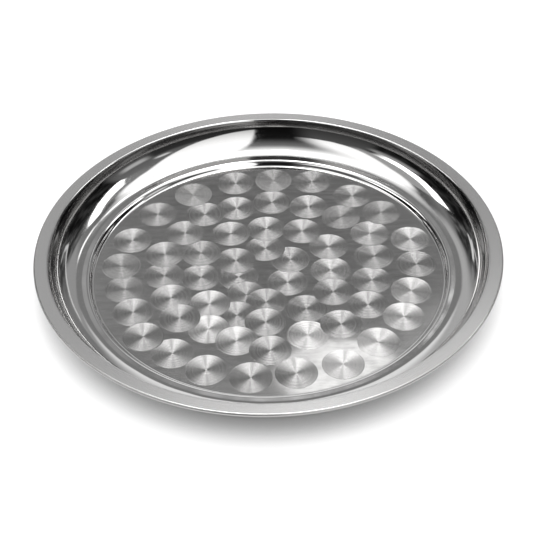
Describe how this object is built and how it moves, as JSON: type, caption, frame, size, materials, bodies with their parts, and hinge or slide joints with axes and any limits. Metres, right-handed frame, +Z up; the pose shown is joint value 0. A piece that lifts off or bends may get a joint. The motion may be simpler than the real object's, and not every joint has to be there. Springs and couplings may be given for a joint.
{
  "type": "round serving tray",
  "caption": "Round stainless steel serving tray: flat floor with a swirl-turned finish, raised floor ring, polished hollow wall and flat satin flange with a wired curled edge.",
  "frame": {"origin": "centre of the underside of the floor, on the surface the tray stands on", "axes": "+Z up along the tray's axis of revolution; X and Y are alike because the tray is round"},
  "size_m": [0.35, 0.35, 0.0268],
  "materials": {
    "pan_steel": "stainless sheet: polished ring and wall, satin flange, floor turned with overlapping round swirls",
    "wire_steel": "drawn steel wire, dull"
  },
  "bodies": {
    "root": {"tray_pan": "pan_steel", "rim_wire": "wire_steel"}
  },
  "joints": []
}
